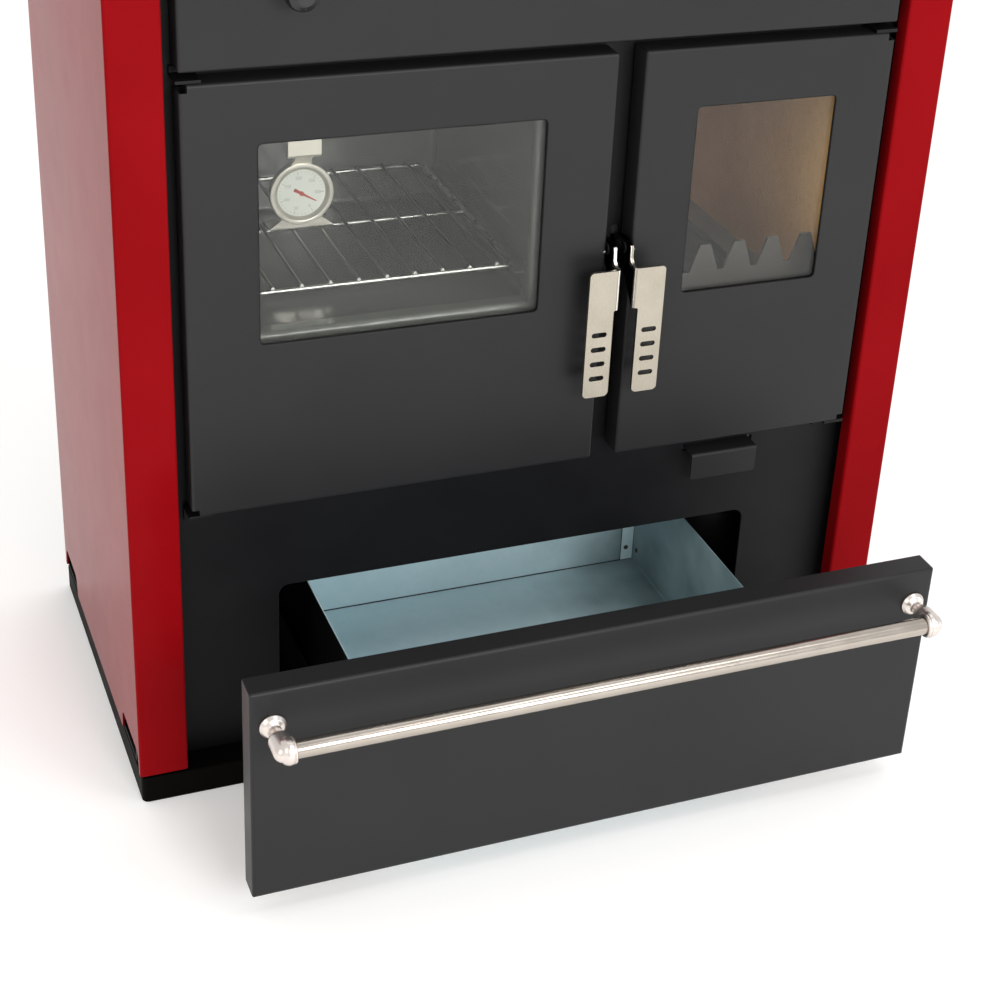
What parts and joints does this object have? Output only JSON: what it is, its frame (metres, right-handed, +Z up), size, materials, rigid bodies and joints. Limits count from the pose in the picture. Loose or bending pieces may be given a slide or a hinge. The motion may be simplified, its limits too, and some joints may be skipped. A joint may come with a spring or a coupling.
{
  "type": "wood cookstove",
  "caption": "Solid-fuel cooking stove with glazed oven door and fire door, pull-out wood drawer, hob with lift-off ring and lid, and top flue collar.",
  "frame": {"origin": "on the floor, at the centre of the casing's footprint: the centre of the plinth's flat underside", "axes": "+Z up, +X to the right as seen from the front, -Y towards the user, with the doors and drawer in the -Y face"},
  "size_m": [0.772, 0.627, 0.9003],
  "materials": {
    "red_enamel": "glossy deep red enamel on steel sheet",
    "charcoal_sheet": "satin dark grey powder coat on folded steel",
    "black_sheet": "satin black heat-proof paint on steel",
    "grey_steel": "bare grey steel sheet",
    "galvanised": "hot-dip galvanised sheet with a faint spangle",
    "stainless": "fine brushed stainless steel",
    "chrome": "polished chrome",
    "chromed_wire": "chromed welded wire",
    "cast_iron": "machined and oiled cast iron",
    "fire_board": "matt tan fire-resistant lining board",
    "ceramic_glass": "clear heat-proof glass",
    "glass_rope": "woven glass-fibre sealing rope",
    "white_dial": "white printed dial",
    "red_needle": "red painted pointer",
    "black_knob": "heat-proof moulded knob"
  },
  "bodies": {
    "stove": {"plinth": "black_sheet", "floor_panel": "black_sheet", "side_casing_left": "red_enamel", "side_casing_right": "red_enamel", "back_panel": "black_sheet", "front_plate": "black_sheet", "compartment_roof": "grey_steel", "top_fascia": "charcoal_sheet", "oven_hinge_top": "grey_steel", "oven_hinge_bottom": "grey_steel", "fire_hinge_top": "grey_steel", "fire_hinge_bottom": "grey_steel", "latch_keeper": "grey_steel", "oven_liner": "grey_steel", "rack_runner_left": "grey_steel", "rack_runner_right": "grey_steel", "oven_rack": "chromed_wire", "thermometer_case": "stainless", "thermometer_dial": "white_dial", "firebox_shell": "black_sheet", "lining_left": "fire_board", "lining_right": "fire_board", "lining_rear": "fire_board", "fire_grate": "cast_iron", "log_guard": "grey_steel", "ash_pan": "galvanised", "air_guide": "grey_steel", "drawer_runner_left": "grey_steel", "drawer_runner_right": "grey_steel", "hob_frame": "black_sheet", "hob_plate": "cast_iron", "flue_collar": "cast_iron", "flue_box": "grey_steel"},
    "oven_door_leaf": {"oven_door": "charcoal_sheet", "oven_glass": "ceramic_glass", "oven_glass_clip_top": "grey_steel", "oven_glass_clip_bottom": "grey_steel", "oven_door_liner": "black_sheet", "oven_door_gasket": "glass_rope", "oven_latch_bolt": "grey_steel"},
    "oven_latch": {"oven_handle": "stainless"},
    "fire_door_leaf": {"fire_door": "charcoal_sheet", "fire_glass": "ceramic_glass", "fire_glass_clip_top": "grey_steel", "fire_glass_clip_bottom": "grey_steel", "fire_door_liner": "black_sheet", "fire_door_gasket": "glass_rope", "fire_latch_bolt": "grey_steel"},
    "fire_latch": {"fire_handle": "stainless"},
    "drawer": {"drawer_front": "charcoal_sheet", "drawer_tray": "galvanised", "drawer_rail": "stainless", "rail_bracket_left": "chrome", "rail_bracket_right": "chrome"},
    "air_control": {"air_slide": "charcoal_sheet"},
    "pointer": {"thermometer_needle": "red_needle"},
    "ring": {"hob_ring": "cast_iron"},
    "lid": {"hob_lid": "cast_iron"},
    "damper": {"damper_flap": "stainless", "damper_knob": "black_knob"}
  },
  "joints": [
    {"name": "oven_door_hinge", "type": "hinge", "parent": "stove", "child": "oven_door_leaf", "pos_m": [-0.313, -0.185, 0.4975], "axis": [0, 0, -1], "range_deg": [0, 110]},
    {"name": "fire_door_hinge", "type": "hinge", "parent": "stove", "child": "fire_door_leaf", "pos_m": [0.313, -0.185, 0.4975], "axis": [0, 0, 1], "range_deg": [0, 110]},
    {"name": "oven_latch_pivot", "type": "hinge", "parent": "oven_door_leaf", "child": "oven_latch", "pos_m": [0.0582, -0.183, 0.512], "axis": [-1, 0, 0], "range_deg": [0, 30]},
    {"name": "fire_latch_pivot", "type": "hinge", "parent": "fire_door_leaf", "child": "fire_latch", "pos_m": [0.0748, -0.183, 0.512], "axis": [-1, 0, 0], "range_deg": [0, 30]},
    {"name": "drawer_slide", "type": "slide", "parent": "stove", "child": "drawer", "axis": [0, -1, 0], "range_m": [-0.189, 0.12]},
    {"name": "air_slide_pull", "type": "slide", "parent": "stove", "child": "air_control", "axis": [0, -1, 0], "range_m": [-0.015, 0.04]},
    {"name": "pointer_pivot", "type": "hinge", "parent": "stove", "child": "pointer", "pos_m": [-0.177, -0.027, 0.5241], "axis": [0, 1, 0], "range_deg": [0, 290], "stiffness_Nm_per_rad": 0.0005},
    {"name": "ring_lift", "type": "slide", "parent": "stove", "child": "ring", "axis": [0, 0, 1], "range_m": [0, 0.15]},
    {"name": "lid_lift", "type": "slide", "parent": "ring", "child": "lid", "axis": [0, 0, 1], "range_m": [0, 0.15]},
    {"name": "damper_pull", "type": "slide", "parent": "stove", "child": "damper", "axis": [0, -1, 0], "range_m": [0, 0.045]}
  ]
}
